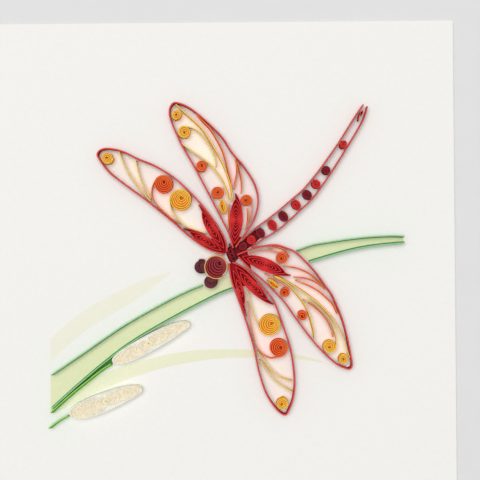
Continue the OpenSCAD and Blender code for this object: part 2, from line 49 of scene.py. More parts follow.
# Sizes of the paper, in millimetres
STRIP_H = 3.5
OUTLINE_T = 0.5
TAIL_WALL_T = 0.4
VEIN_T = 0.3
REED_T = 0.4
REED_LEAN = 0.3
STEM_LEAN = 0.5
GLUE_GAP = 0.08
PAPER_T = 0.2
COIL_GAP = 0.2
PETAL_GAP = 0.07
CATTAIL_GAP = 0.05
TAIL_GAP = 0.14
HEAD_GAP = 0.13
OUTER_GAP = 0.06
WRAP_GAP = 0.12
CORE_R = 0.4
PETAL_CORE = 0.2
HEAD_DISH = 1.0
EYE_H = 3.0
# Thickness of the fields of print and of painted shade, by which fields that cross lie at different heights
FIELD_T = 0.02
LOW_FIELD_T = FIELD_T / 2
HIGH_FIELD_T = FIELD_T * 1.5

# Forms of the coils, as in the part: how strongly ends are drawn out, or filled out where it is below 0
PETAL_PINCH = 0.6
THORAX_PINCH = 0.3
CATTAIL_PINCH = -0.25
DROP_PINCH = 0
# How a pinched coil is drawn out: above 1, its core is round and its outer turns are long
DRAW = 1.8
CATTAIL_DRAW = 1.25
# Share of a cattail's width that is filled by a round core
CATTAIL_ROUND = 0.45
# Half of the clear width inside the fold at a pinched tip
TIP_GAP = 0.02
# Where the outer end of a pinched coil lies: just round the fold at its first tip
FOLD_PHASE = 1 / 24
PINCHED_END = 180 + 180 * FOLD_PHASE
# Angle of an eye's inner end, softness of the corner where it is pressed against the head, and a length
# beyond the card, for a ray that meets nothing
EYE_START = 90
PRESS_POWER = 10
FAR_OFF = 1000.0
# Share of a turn by which coils grow longer when there is more room, how far a miter may reach at a sharp
# bend, and flanks that do not slant
TURN_STEP = 0.5
MITER_LIMIT = 2.0
NO_SLANT = [0, 0]

# Fineness of the meshes: steps in a turn of a coil and of a petal, millimetres between steps of a strip,
# fewest steps between two points of a path, and steps along and across a printed field
COIL_STEPS = 48
PETAL_STEPS = 72
STRIP_STEP = 0.6
FEWEST_STEPS = 3
FIELD_STEPS = 90
FIELD_ROWS = 10
# Rounding of a strip's cut edge as a share of its thickness, where the middle of the rounding lies as a share
# of it, and the bend in degrees from which an edge is sharp
EDGE_ROUND = 0.3
EDGE_MID = 0.3
SHARP_ANGLE = 50
# Millimetres that rolled paper fluffs up to beyond its thickness, and that the turns lean in at the top
FLUFF = 0.05
COIL_LEAN = 0.1
PETAL_LEAN = 0.04
HEAD_LEAN = -0.08
# Millimetres that the sheet pressed between the turns lies under their tops, and its thickness. The sheet
# stands for finer inner turns, and its dark paint is painted shade
COIL_LOW = 0.5
TAIL_LOW = 0.5
HEAD_LOW = 0.3
PETAL_LOW = 0.7
CATTAIL_LOW = 0.5
WEB_T = 0.2
# Millimetres that the dark sheet in a coil's core, painted shade, lies deeper than that between its turns
CORE_LOW = 1.2
# Millimetres that a vein leans at its middle, and over which a lean dies away
VEIN_LEAN = 0.25
LEAN_FADE = 3.0
# How far hand-cut tops wander in height and sideways, in millimetres, over what length and in how many waves
TOP_WANDER = 0.05
SIDE_WANDER = 0.04
WANDER_LENGTH = 9.0
WANDER_WAVES = (1, 2.3, 4.1)
HEAD_SEED = 1

# Paper as a material: gloss, fibres and their mottle, the finer tooth of its face and the light it lets in,
# with depths in millimetres
ROUGHNESS = 0.8
SPECULAR = 0.1
FIBRES = 900.0
MOTTLE_SPREAD = 0.12
MOTTLE_DETAIL = 4
MOTTLE_ROUGHNESS = 0.65
MOTTLE_RANGE = (0.3, 0.7)
TOOTH = 0.25
FIELD_TOOTH = 0.1
TOOTH_FINER = 4
TOOTH_DETAIL = 3
TOOTH_DEPTH = 0.03
GLOW = 0.03
BRIGHT_GLOW = 0.1
GLOW_RADIUS = (1.0, 0.8, 0.6)
GLOW_DEPTH = 0.6

# Layout: points counted in steps from the top left, as in the part
LAYOUT_MID = np.array([240.0, 240.0])
RIGHT_TIP = [97.2, 154]
LEFT_TIP = [284.5, 415]
WING_SPAN = 104.0
MOTIF = np.array([6.0, 5.0])
MOTIF_TURN = -0.5
UNIT = WING_SPAN / math.dist(RIGHT_TIP, LEFT_TIP)
FRONT_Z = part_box("folded_card")[1][2] / MM

# Camera straight above the layout's middle: millimetres above the strips' tops, the nearest that it sees,
# layout steps across the picture, and the width of the sensor
CAMERA_RISE = 340.0
CAMERA_NEAR = 10.0
FRAME_STEPS = 480
SENSOR = 36.0

# Floor and light, in metres and watts, and the strength of the even light all round
FLOOR_HALF = 2.0
SKY = 0.3
KEY_SIZE = 1.4
KEY_POWER = 32.8
KEY_PLACE = (-0.18, 0.24, 2.0)

RIGHT_FOREWING_EDGE = [
    [224.6, 254.2], [208.8, 249.5], [190.5, 237.4], [173.1, 222.1], [146.3, 200.4], [122.1, 182.6],
    [108, 171], [99.1, 159], RIGHT_TIP, [100.2, 150], [108, 148.4], [122.1, 151.3], [139.3, 159.4],
    [156.5, 166.6], [176.9, 180], [199.2, 202.1], [216, 223.7], [225.2, 240.5], [227, 251.8]]
RIGHT_FOREWING_VEINS = [
    [[118.6, 150.6], [124, 166.6], [133.6, 182], [143.8, 194.7], [150.5, 201.2]],
    [[135.1, 157.4], [137.4, 171.7], [142.5, 185.8], [150.6, 198.6]]]
RIGHT_FOREWING_ORANGE_TAIL = [
    [152.4, 186], [151.6, 195.5], [155.9, 203.8], [163.6, 211.4], [172.2, 218.9], [179.8, 223.2]]
RIGHT_FOREWING_YELLOW_TAIL = [
    [171.3, 209.2], [177.6, 219.2], [185.4, 226], [194.4, 229.6], [206.5, 233.2]]
LEFT_FOREWING_EDGE = [
    [228.9, 263.6], [230.2, 273.5], [233.1, 285.4], [242.2, 310.2], [249.4, 332.1], [254.8, 351.5],
    [259.1, 372.1], [266.4, 393.9], [276, 408.6], LEFT_TIP, [288.6, 411], [293, 398.8], [294.8, 380],
    [291.2, 351.5], [284.5, 329.7], [276.4, 307], [272.4, 298.9], [261.7, 285.4], [254.6, 278.2],
    [247.4, 270.6], [240.3, 265.6], [232.4, 262.3]]
LEFT_FOREWING_VEINS = [
    [[257.4, 351.5], [263, 360.4], [271.2, 370.9], [280.9, 378.2], [294.6, 382]],
    [[259.6, 360.4], [268.8, 374.5], [278.5, 384.2], [293.4, 392.8]]]
LEFT_FOREWING_ORANGE_TAIL = [
    [270.5, 358.4], [262, 353.8], [256.6, 346.5], [253.9, 337], [250.8, 324], [248.6, 310], [247.6, 301.5]]
LEFT_FOREWING_YELLOW_TAIL = [[254.6, 317], [251.2, 306], [249.2, 296.5], [246.6, 290.5]]
RIGHT_HINDWING_EDGE = [
    [233.2, 248], [228, 231.7], [216.3, 208.6], [204.7, 186.2], [193.1, 164.6], [180.7, 143.1],
    [171.1, 120.7], [169.4, 110], [172.8, 103.2], [179, 103.2], [191.5, 109.1], [209.7, 124.4],
    [222.1, 137.3], [231.7, 152], [243.7, 166.3], [254.5, 183.7], [258.2, 201.9], [253.5, 220.2],
    [243.9, 235], [235.6, 247.2]]
RIGHT_HINDWING_YELLOW_VEINS = [
    [[175.2, 103.4], [183.2, 112], [199.8, 127.3], [208, 138.9], [220.5, 160.5], [227.9, 178.7],
        [231.2, 192.5], [231.4, 198.2], [230.2, 199.6], [228.9, 198], [227.6, 191.5], [221.3, 177.9],
        [213, 167.1], [206.4, 160.5], [189.8, 148.9], [181, 143.4]]]
RIGHT_HINDWING_ORANGE_VEINS = [
    [[193.9, 111.3], [203.1, 122.3], [211.4, 131.5], [222.1, 151.4], [227.9, 172.1], [232.3, 189]],
    [[234.6, 155.8], [236.2, 164.6], [236.2, 172.9], [234.8, 181.2], [234.2, 188.6]],
    [[237.4, 159.2], [238.9, 168.8], [240.8, 179.6], [241.2, 187.8], [240.9, 193.2]],
    [[228.9, 204], [228.2, 219], [228.4, 228.5]],
    [[247.4, 208.2], [247.6, 217.4], [246.4, 225.7], [244.9, 229.8]]]
RIGHT_HINDWING_YELLOW_TAIL = [
    [193.1, 128.1], [199.8, 133.1], [206.4, 141.4], [211.4, 149.7], [215, 158.8], [215.9, 166.5]]
RIGHT_HINDWING_ORANGE_TAIL = [[252, 207], [251.4, 214], [249.8, 222]]
LEFT_HINDWING_EDGE = [
    [237, 255], [245, 251.6], [254, 248.4], [262, 246.3], [275.2, 244.9], [285, 247.5], [297.6, 253.8],
    [315.4, 272.1], [325.1, 285.4], [333.2, 297.4], [341.3, 316.8], [346.2, 332.8], [351.5, 358.6],
    [351.9, 366.5], [349.2, 369], [345.6, 368.2], [336.5, 363.9], [318.9, 347.8], [299, 322.7],
    [286.1, 304.3], [276, 293.2], [262, 279.6], [252.1, 271.2], [245.4, 264.4], [238.4, 256.9]]
LEFT_HINDWING_YELLOW_VEINS = [
    [[349.6, 357.5], [347.2, 347.4], [344.3, 338.2], [336, 322.1], [329.6, 314.1], [321.5, 305.5],
        [313.5, 298.6], [302.8, 290.6], [291.5, 283.6], [283.5, 278.9], [277.2, 276.2], [274.6, 275.7],
        [273.8, 276.5], [274.6, 277.4], [277, 278.6], [284.8, 283], [290.6, 288], [296, 294.2],
        [301, 300.2], [305.6, 307.6], [308.6, 314.6], [310.6, 321.5], [313.5, 332.8], [314.5, 338.8]]]
LEFT_HINDWING_ORANGE_VEINS = [
    [[268, 248.2], [276, 247.6], [283, 249.6], [287.6, 253.4], [289.3, 257.5]],
    [[283.4, 266.4], [290.7, 267], [302.2, 270.4], [310.8, 275], [322.5, 284.6]],
    [[294, 277.3], [302.2, 277.9], [310.8, 280.2], [319.4, 284.8], [325.4, 289.6]],
    [[296, 280.4], [310.8, 287.1], [319.4, 292.2], [328, 299.7], [333.2, 305.5], [337.6, 314]],
    [[333.6, 337.4], [331.9, 330.5], [328.2, 322], [322.2, 313.8], [315.4, 307.4], [308.6, 303.4]]]
LEFT_HINDWING_YELLOW_TAIL = [
    [336.4, 338.2], [334.2, 329.6], [330.2, 320.6], [323.8, 311.8], [316.6, 305], [309.5, 301.1],
    [303.4, 299.6]]
LEFT_HINDWING_ORANGE_TAIL = [[271, 250.6], [262.5, 250.2], [254.5, 251.8], [249, 253.6]]
LEFT_HINDWING_INNER_TAIL = [[281.6, 283.6], [276.2, 280.4], [270.5, 277], [264.5, 274]]

# Tail: stations along its middle, each with the half width to the middle of its walls
TAIL_STATIONS = [
    [247.4, 243.2, 5.7], [251.1, 240, 6.1], [260.3, 232.9, 6.8], [272.3, 225, 7.4], [283.3, 216.2, 7.3],
    [296, 204.8, 6.9], [307.2, 194.8, 6.6], [316, 184, 6.1], [326.2, 170.3, 5.6], [343.4, 144.5, 4.8],
    [359.1, 118.5, 4.3], [365.6, 105.2, 2.2]]
TAIL_ROOT = [242.8, 246.4, 5.4]
TAIL_COILS = 10
TAIL_COIL_HALF = 4.8
TAIL_COIL_END = 60

# Head and eyes: an eye has its middle with its radius, and its core
HEAD_MID = [216, 267]
HEAD_STEPS = 12
HEAD_CORE = [220.5, 262.1]
HEAD_END = 300
EYES = {
    "upper_eye_coil": ([201.4, 266.8, 7.8], [198.6, 266.2]),
    "lower_eye_coil": ([210.6, 281.6, 7.4], [209.4, 283.4])}

# Round coils: middle, radius, core, way of turning, angle of the outer end, and the tail of a scroll
ROUND_COILS = {
    "right_forewing_tip_coil": ("yellow", [[107.2, 157.9], 6.3, [106.8, 158.3], 1, 0], None),
    "right_forewing_orange_scroll": (
        "orange", [[163.3, 184.3], 9.8, [163.8, 181.8], 1, 140], RIGHT_FOREWING_ORANGE_TAIL),
    "right_forewing_yellow_scroll": (
        "yellow", [[180.4, 200], 11.4, [181.5, 196.9], 1, 180], RIGHT_FOREWING_YELLOW_TAIL),
    "left_forewing_tip_coil": ("yellow", [[282.2, 403.8], 6.4, [282.2, 404.4], 1, 90], None),
    "left_forewing_orange_scroll": (
        "orange", [[278.5, 348.1], 9.8, [281, 347.6], -1, 265], LEFT_FOREWING_ORANGE_TAIL),
    "left_forewing_yellow_scroll": (
        "yellow", [[269.6, 324.8], 11.3, [272.4, 323.8], -1, 190], LEFT_FOREWING_YELLOW_TAIL),
    "right_hindwing_tip_coil": ("yellow", [[176.6, 114.6], 5.4, [176.6, 114.6], 1, 270], None),
    "right_hindwing_yellow_scroll": (
        "yellow", [[184.2, 131.8], 6.6, [183.8, 132.4], -1, 90], RIGHT_HINDWING_YELLOW_TAIL),
    "right_hindwing_outer_coil": ("orange", [[201.6, 165.7], 6, [201.6, 166.2], 1, 300], None),
    "right_hindwing_inner_coil": ("orange", [[217.2, 192.4], 6.7, [217.4, 192], 1, 60], None),
    "right_hindwing_orange_scroll": (
        "orange", [[246.2, 200.3], 6.2, [246.2, 199.6], -1, 0], RIGHT_HINDWING_ORANGE_TAIL),
    "left_hindwing_tip_coil": ("yellow", [[343.3, 359.4], 5.5, [343.1, 359.8], 1, 120], None),
    "left_hindwing_yellow_scroll": (
        "yellow", [[329.8, 346.5], 7.1, [329.2, 347.2], 1, 5], LEFT_HINDWING_YELLOW_TAIL),
    "left_hindwing_outer_coil": ("orange", [[302.5, 315.8], 5.4, [302.4, 316.4], 1, 150], None),
    "left_hindwing_inner_scroll": (
        "orange", [[285, 292.2], 5.4, [284.6, 292.8], 1, 80], LEFT_HINDWING_INNER_TAIL),
    "left_hindwing_orange_scroll": (
        "orange", [[281.8, 258.1], 6.4, [281.6, 258.6], 1, 115], LEFT_HINDWING_ORANGE_TAIL)}

# Pinched coils: the two tips, and the half widths to left and right of the way between them
PETALS = {
    "right_forewing_upper_petal": [[198.6, 204.8], [226, 251.4], 4.2, 6.7],
    "right_forewing_lower_petal": [[183.4, 228.2], [224.6, 252.4], 5, 4.9],
    "left_forewing_outer_petal": [[246.5, 316], [231.2, 265], 2.3, 5.5],
    "left_forewing_inner_petal": [[273.5, 304.8], [233, 263.8], 7.3, 4],
    "right_hindwing_petal": [[235.6, 193.3], [233.9, 246], 8.3, 5.8],
    "left_hindwing_petal": [[290.8, 275.6], [239.6, 255.8], 6.1, 7.9],
    "tail_tip": [[358.4, 120.4], [364.8, 106.2], 2, 2]}
THORAX = [[229, 243.6], [236.8, 264], 1.65, 4.8]
DROPS = {
    "right_hindwing_drop": [[221, 198.8], [224.2, 214.6], 4.4, 4.4],
    "left_hindwing_drop": [[267.2, 279.4], [279.4, 289.1], 3.5, 3.5]}
# Cattails also have the shift of the core along the way, and the slants of the two flanks
CATTAILS = {
    "upper_cattail": [[112.2, 361.6], [190.4, 324], 9.3, 8.5, -2.5, [0.2, -0.45]],
    "lower_cattail": [[69.2, 414], [142.5, 389.4], 9.9, 10, 0.3, [0.05, -0.45]]}

# Reed and stems
REED_UPPER_LEFT = [
    [51.2, 375.7], [82.1, 354.7], [124.2, 325.9], [166.3, 302.1], [187.3, 291.6], [202.2, 285.4]]
REED_LOWER_LEFT = [
    [51.2, 408.7], [75.1, 387], [103.1, 363.1], [131.2, 342.1], [173.3, 317.3], [215.4, 295.4],
    [232.2, 288.6]]
REED_UPPER_RIGHT = [
    [296.9, 250.6], [313.7, 245.2], [330.9, 242.3], [351, 239.3], [371.4, 237.2], [391.8, 236.2],
    [404.6, 236.7]]
REED_LOWER_RIGHT = [
    [309.6, 261.4], [319.4, 258.4], [340.8, 252.2], [361.2, 247.4], [381.6, 244.4], [405.1, 242.3]]
UPPER_STEM = [[51, 413.3], [69.1, 396.9], [87.6, 381.8], [102.5, 370.2], [111, 364.7]]
LOWER_STEM = [[49.1, 429.1], [58.2, 422], [68, 416.4]]

# Fields of print on the card, and fields of painted shade: an upper and a lower edge each. The reed's run
# along its strips, from its left end and on under the head.
REED_UNDER_HEAD = [[216, 280], [231, 276]]
REED_FILL_LEFT = [[50.5, 376.1], [50.5, 409.4]]
LEAF_FAR = (
    [[50.5, 338.6], [68.1, 322.4], [89.1, 307], [117.2, 291.6], [145.2, 278.9], [174.7, 270.2]],
    [[50.5, 363.1], [63.9, 349.1], [82.1, 333.7], [103.1, 319.6], [124.2, 307], [145.2, 293], [174.7, 270.2]])
LEAF_NEAR = (
    [[50.5, 398], [68, 389.5], [86.3, 381.4], [110.2, 370.8], [138.2, 361.7], [166.3, 354.7],
        [194.3, 350.5], [222.4, 349.1], [254.4, 349.7]],
    [[50.5, 415.4], [68.1, 406.6], [89.1, 395.4], [110.2, 386.3], [138.2, 375.7], [166.3, 367.3],
        [194.3, 361.7], [222.4, 358.2], [256.2, 357.6]])
# Fields of painted shade on the card, under strips that stand close together: dark red under the body's root
# and the tail's start, red at the wing roots, green at the stem's foot
ROOT_SHADE = (
    [[226, 250.8], [229, 246.5], [233.5, 245], [239.5, 242.6], [247.8, 235.8], [255.5, 229.2]],
    [[226, 254.6], [230, 262.5], [234.5, 262.5], [246, 250.4], [253, 245.2], [261, 237.6]])
WING_ROOT_SHADES = {
    "right_forewing_root_shade": (
        [[226.6, 252.2], [225, 241], [219.5, 229]], [[225, 253.8], [216, 251.8], [204.5, 246.8]]),
    "left_forewing_root_shade": (
        [[231.6, 262.8], [240, 265.8], [247.4, 271], [258, 281.8]],
        [[229.2, 263.8], [230.4, 273.5], [232, 281], [235, 289.5]]),
    "right_hindwing_root_shade": (
        [[233.4, 247.6], [231.2, 241.5], [229, 235]], [[235.4, 247], [239, 242], [242.6, 237]]),
    "left_hindwing_root_shade": (
        [[237.4, 255], [242, 252.8], [247.5, 250.8]], [[238.6, 256.8], [245.4, 264.2], [251.6, 270.4]])}
STEM_FOOT_SHADE = (
    [[51.4, 409.4], [75.1, 387.6], [103.1, 363.9], [112, 357.4]],
    [[51.4, 412.8], [69.1, 396.9], [87.6, 381.8], [102.5, 370.6], [111.4, 364.8]])
LEAF_NEAR_TIP = (
    [[292.6, 353.6], [310, 357.6], [329.6, 363.9]],
    [[293.4, 358.9], [310, 360.6], [329.6, 363.9]])


# Lines of the layout
def turned(vectors, degrees):
    """Vectors turned about the card's upright."""
    vectors = np.asarray(vectors, float)
    c, s = math.cos(math.radians(degrees)), math.sin(math.radians(degrees))
    return vectors @ np.array([[c, s], [-s, c]])


def at(points, scale=1.0):
    """Places on the card of layout points."""
    points = np.asarray(points, float)[..., :2]
    return MOTIF + UNIT * scale * turned((points - LAYOUT_MID) * [1, -1], MOTIF_TURN)


def on_card(points):
    """Places on the card's face of points that are seen beside the strips' tops."""
    return at(points, 1 + STRIP_H / CAMERA_RISE)


def curve(path):
    """Smooth curve through the points of a path."""
    path = np.asarray(path, float)
    runs = []
    for i in range(len(path) - 1):
        a, b, c, d = path[max(i - 1, 0)], path[i], path[i + 1], path[min(i + 2, len(path) - 1)]
        n = max(FEWEST_STEPS, math.ceil(np.linalg.norm((c - b)[:2]) / STRIP_STEP))
        t = (np.arange(n) / n)[:, None]
        cubic = (2 * a - 5 * b + 4 * c - d) * t**2 + (3 * b - a - 3 * c + d) * t**3
        runs.append((2 * b + (c - a) * t + cubic) / 2)
    return np.concatenate(runs + [path[-1:]])


def unit(vectors):
    """Vectors of length 1 along the given ones."""
    return vectors / np.maximum(np.linalg.norm(vectors, axis=-1, keepdims=True), TINY)


def leftward(line, mitered=True):
    """Vectors to the left of a line, drawn out where it bends."""
    run = unit(np.diff(line, axis=0))
    ahead = np.vstack([run, run[-1:]])
    behind = np.vstack([run[:1], run])
    way = unit(ahead + behind)
    miter = np.minimum(MITER_LIMIT, 1 / np.maximum(TINY, (way * ahead).sum(1, keepdims=True)))
    return np.stack([-way[:, 1], way[:, 0]], 1) * (miter if mitered else 1)


def run_of(line):
    """Lengths along a line from its start."""
    return np.concatenate([[0], np.cumsum(np.linalg.norm(np.diff(line, axis=0), axis=1))])


def loop(reach, slants, pinch, share, drawn, angles):
    """Loop of a coil at a share of its full size. It is round at the core, grows into the coil's form as it
    is drawn out, and keeps the width of a fold at pinched tips."""
    ends, left, right = reach
    on_left = np.sin(angles) > 0
    middle = (left + right) / 2
    long = share * middle + (ends - middle) * drawn
    side = share * middle + (np.where(on_left, left, right) - middle) * drawn
    full = side * (1 + np.where(on_left, *slants) * drawn * np.cos(angles))
    wide = full * np.abs(np.sin(angles)) ** (1 + pinch * share)
    fold = 0 if pinch == 0 else np.minimum(PAPER_T / 2 + TIP_GAP, long * np.abs(np.sin(angles)))
    return np.stack([long * np.cos(angles), np.sign(np.sin(angles)) * np.maximum(wide, fold)], 1)


def coil(mid, size, tilt, core, eye, pinch, gap, steps, hand, end, slants=NO_SLANT, draw=1.0, kept=0.0):
    """Line of a coil from its core to its outer end: open turns, and one close turn round them. Its size is
    how far it reaches to its ends, to the left and to the right. Its flanks may slant, and a kept share of it
    stays round."""
    reach = [r - PAPER_T / 2 for r in size]
    near = min(reach[0] - abs(core[0]), reach[1] - core[1], reach[2] + core[1])
    first = eye / near
    outer = PAPER_T + (WRAP_GAP if kept > 0 else OUTER_GAP)
    inner_turns = max(0, TURN_STEP * math.floor((near - eye - outer) / (PAPER_T + gap) / TURN_STEP))
    close = outer / near if inner_turns > 0 else 1 - first
    turns = inner_turns + 1
    along = np.arange(round(turns * steps) + 1) / steps
    folds = 2 * along + FOLD_PHASE
    made = along if pinch == 0 else (folds - np.sin(2 * math.pi * folds) / (2 * math.pi)) / 2
    opened = first + (1 - close - first) * made / max(TURN_STEP, inner_turns)
    share = np.where(made < inner_turns, opened, 1 - close * (turns - made))
    angles = np.radians(end + hand * 360 * (along - turns))
    whole = max(first, kept)
    wrapped = 1 - close if kept > 0 else 1
    grown = np.minimum(1, np.maximum(0, share - whole) / (wrapped - whole))
    drawn = share if pinch == 0 else grown**draw
    line = core * (1 - drawn[:, None]) + loop(reach, slants, pinch, share, drawn, angles)
    return mid + turned(line, tilt)


def tilt_of(way):
    """Degrees that a way is turned from the frame's x."""
    return math.degrees(math.atan2(way[1], way[0]))


def round_coil(mid, r, core, hand, end, gap=COIL_GAP, eye=CORE_R):
    """Line of a round coil."""
    off = at(core) - at(mid)
    return coil(at(mid), [r * UNIT] * 3, 0, off, eye, 0, gap, COIL_STEPS, hand, end)


def pinched_coil(first, last, left, right, shift=0, slants=NO_SLANT, *,
                 pinch, gap, eye=PETAL_CORE, draw=DRAW, kept=0.0):
    """Line of a coil between two tips. Its core lies between its flanks, and may be shifted along its way."""
    first, last = at(first), at(last)
    way = last - first
    size = [np.linalg.norm(way) / 2, left * UNIT, right * UNIT]
    core = np.array([shift * UNIT, (size[1] - size[2]) / 2])
    mid = (first + last) / 2
    return coil(
        mid, size, tilt_of(way), core, eye, pinch, gap, PETAL_STEPS, 1, PINCHED_END, slants, draw, kept)


def scroll(line, tail):
    """A coil whose outer end runs on along a tail."""
    return np.concatenate([line, curve(np.vstack([line[-1:], at(tail)]))[1:]])


def eye_ray(eye, core, angles):
    """How far an eye reaches from its core: to its own round, or to the head that it is pressed against."""
    ways = np.stack([np.cos(angles), np.sin(angles)], 1)
    own_arm = at(core) - at(eye)
    own_along = ways @ own_arm
    own_r = eye[2] * UNIT - PAPER_T / 2
    own = np.sqrt(np.maximum(0, own_along**2 - own_arm @ own_arm + own_r**2)) - own_along
    head_arm = at(core) - at(HEAD_MID)
    head_along = ways @ head_arm
    head_r = HEAD_STEPS * UNIT + GLUE_GAP + PAPER_T / 2
    within = head_along**2 - head_arm @ head_arm + head_r**2
    meets = (within > 0) & (head_along < 0)
    stop = np.where(meets, -head_along - np.sqrt(np.maximum(0, within)), FAR_OFF)
    return (own**-PRESS_POWER + stop**-PRESS_POWER) ** (-1 / PRESS_POWER)


def eye_coil(eye, core):
    """Line of an eye, whose turns all have the form of its pressed outline."""
    near = eye_ray(eye, core, np.linspace(0, 2 * math.pi, COIL_STEPS)).min()
    first = PETAL_CORE / near
    last = math.floor((near - PETAL_CORE) / (PAPER_T + PETAL_GAP)) * COIL_STEPS
    steps = np.arange(last + 1)
    angles = math.radians(EYE_START) + 2 * math.pi * steps / COIL_STEPS
    share = first + (1 - first) * steps / last
    reach = (share * eye_ray(eye, core, angles))[:, None]
    return at(core) + reach * np.stack([np.cos(angles), np.sin(angles)], 1)


def fitted(path, edge):
    """A vein that stops a glue line short of its wing's outline."""
    line = curve(at(path))
    outline = curve(at(edge))
    apart = np.linalg.norm(line[:, None] - outline[None], axis=2).min(1)
    return line[apart > OUTLINE_T / 2 + GLUE_GAP + VEIN_T / 2]


def tail_coil(i):
    """Line of a coil of the tail, as wide as the space between the walls at its station."""
    place = TAIL_ROOT if i == 1 else TAIL_STATIONS[i - 1]
    way = at(TAIL_STATIONS[i]) - at(TAIL_STATIONS[max(i - 2, 0)])
    half = place[2] * UNIT - TAIL_WALL_T / 2 - GLUE_GAP
    size = [TAIL_COIL_HALF * UNIT, half, half]
    return coil(
        at(place), size, tilt_of(way), np.zeros(2), PETAL_CORE, 0, TAIL_GAP, COIL_STEPS, 1, TAIL_COIL_END)


def tail_side(side):
    """Line of the tail's wall on one side of its middle."""
    stations = [[*at(s), s[2] * UNIT] for s in TAIL_STATIONS]
    line = curve(stations)
    return line[:, :2] + side * line[:, 2:] * leftward(line[:, :2], mitered=False)


# Meshes
# Paints of a piece: a strip's wall, its cut edge, painted shade deep between the turns and in the core, and
# an accent
WALL, EDGE, DEEP_SHADE, ACCENT = range(4)
# Paints round a strip's section, from the foot of its left wall. The wall's darker paint is painted shade,
# the cut edge's lighter paint painted highlight
STRIP_PAINTS = (WALL, EDGE, EDGE, EDGE, EDGE, EDGE, WALL, WALL)


